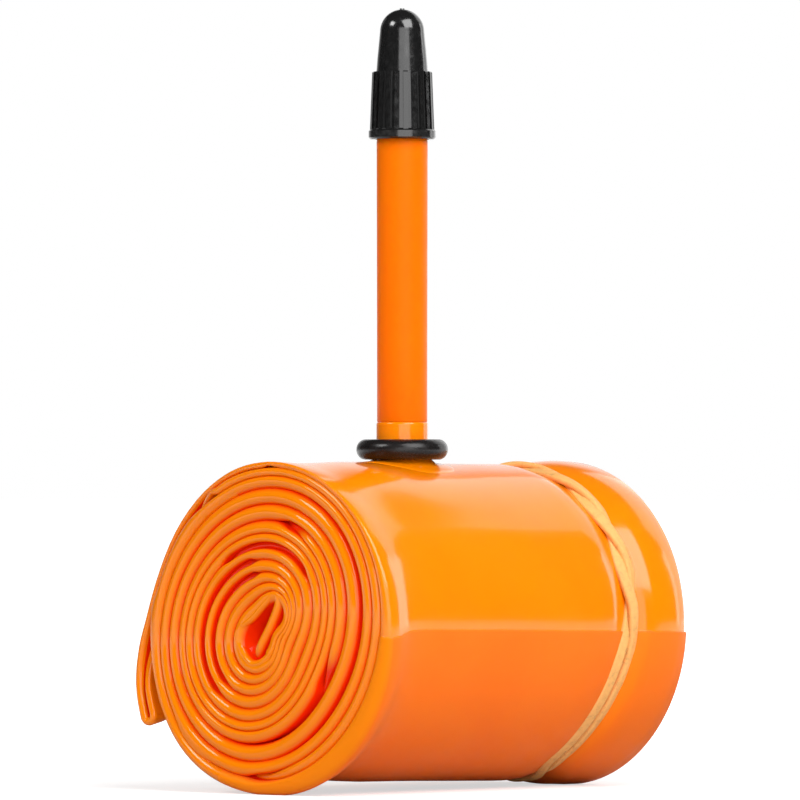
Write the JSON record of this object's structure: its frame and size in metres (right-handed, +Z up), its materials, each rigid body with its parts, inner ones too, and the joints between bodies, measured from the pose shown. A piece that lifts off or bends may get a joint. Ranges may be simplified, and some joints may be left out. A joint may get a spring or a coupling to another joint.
{
  "type": "inner tube",
  "caption": "Bicycle inner tube, laid flat, folded and rolled up, with a long slender valve, ribbed cap, rubber washer and a rubber band round the roll.",
  "frame": {"origin": "middle of the footprint on the ground, under the middle of the roll", "axes": "+Z up along the valve, +X along the roll towards the end with the rubber band, the roll's loose end is on the +Y side"},
  "size_m": [0.052, 0.0404, 0.0901],
  "materials": {
    "film": "glossy translucent orange film",
    "stem": "satin orange moulding",
    "brass": "machined",
    "nickel": "nickel plated",
    "cap": "satin black",
    "black_rubber": "satin black",
    "seal": "matt",
    "band": "matt tan"
  },
  "bodies": {
    "roll": {"tube": "film", "valve_foot": "stem", "valve_stem": "stem", "stem_insert": "brass"},
    "core": {"core_body": "nickel", "core_gasket": "seal"},
    "rod": {"core_rod": "nickel", "rod_seal": "seal", "seal_cup": "brass"},
    "nut": {"lock_nut": "nickel"},
    "cap": {"valve_cap": "cap"},
    "washer": {"rim_washer": "black_rubber"},
    "band": {"rubber_band": "band"}
  },
  "joints": [
    {"name": "core_unscrew", "type": "slide", "parent": "roll", "child": "core", "axis": [0, 0, 1], "range_m": [0, 0.016]},
    {"name": "nut_turn", "type": "hinge", "parent": "core", "child": "nut", "pos_m": [-0.003, -0.00058, 0.083], "axis": [0, 0, 1], "range_deg": [0, 1080]},
    {"name": "rod_drop", "type": "slide", "parent": "core", "child": "rod", "axis": [0, 0, -1], "range_m": [0, 0.0021]},
    {"name": "cap_pull", "type": "slide", "parent": "core", "child": "cap", "axis": [0, 0, 1], "range_m": [0, 0.018]},
    {"name": "washer_slide", "type": "slide", "parent": "roll", "child": "washer", "axis": [0, 0, 1], "range_m": [0, 0.034]},
    {"name": "band_off", "type": "slide", "parent": "roll", "child": "band", "axis": [1, 0, 0], "range_m": [0, 0.0125], "deforming": ["rubber_band"]}
  ],
  "couplings": [
    {"joint": "nut_turn", "follows": "rod_drop", "rad_per_m": 8976}
  ]
}
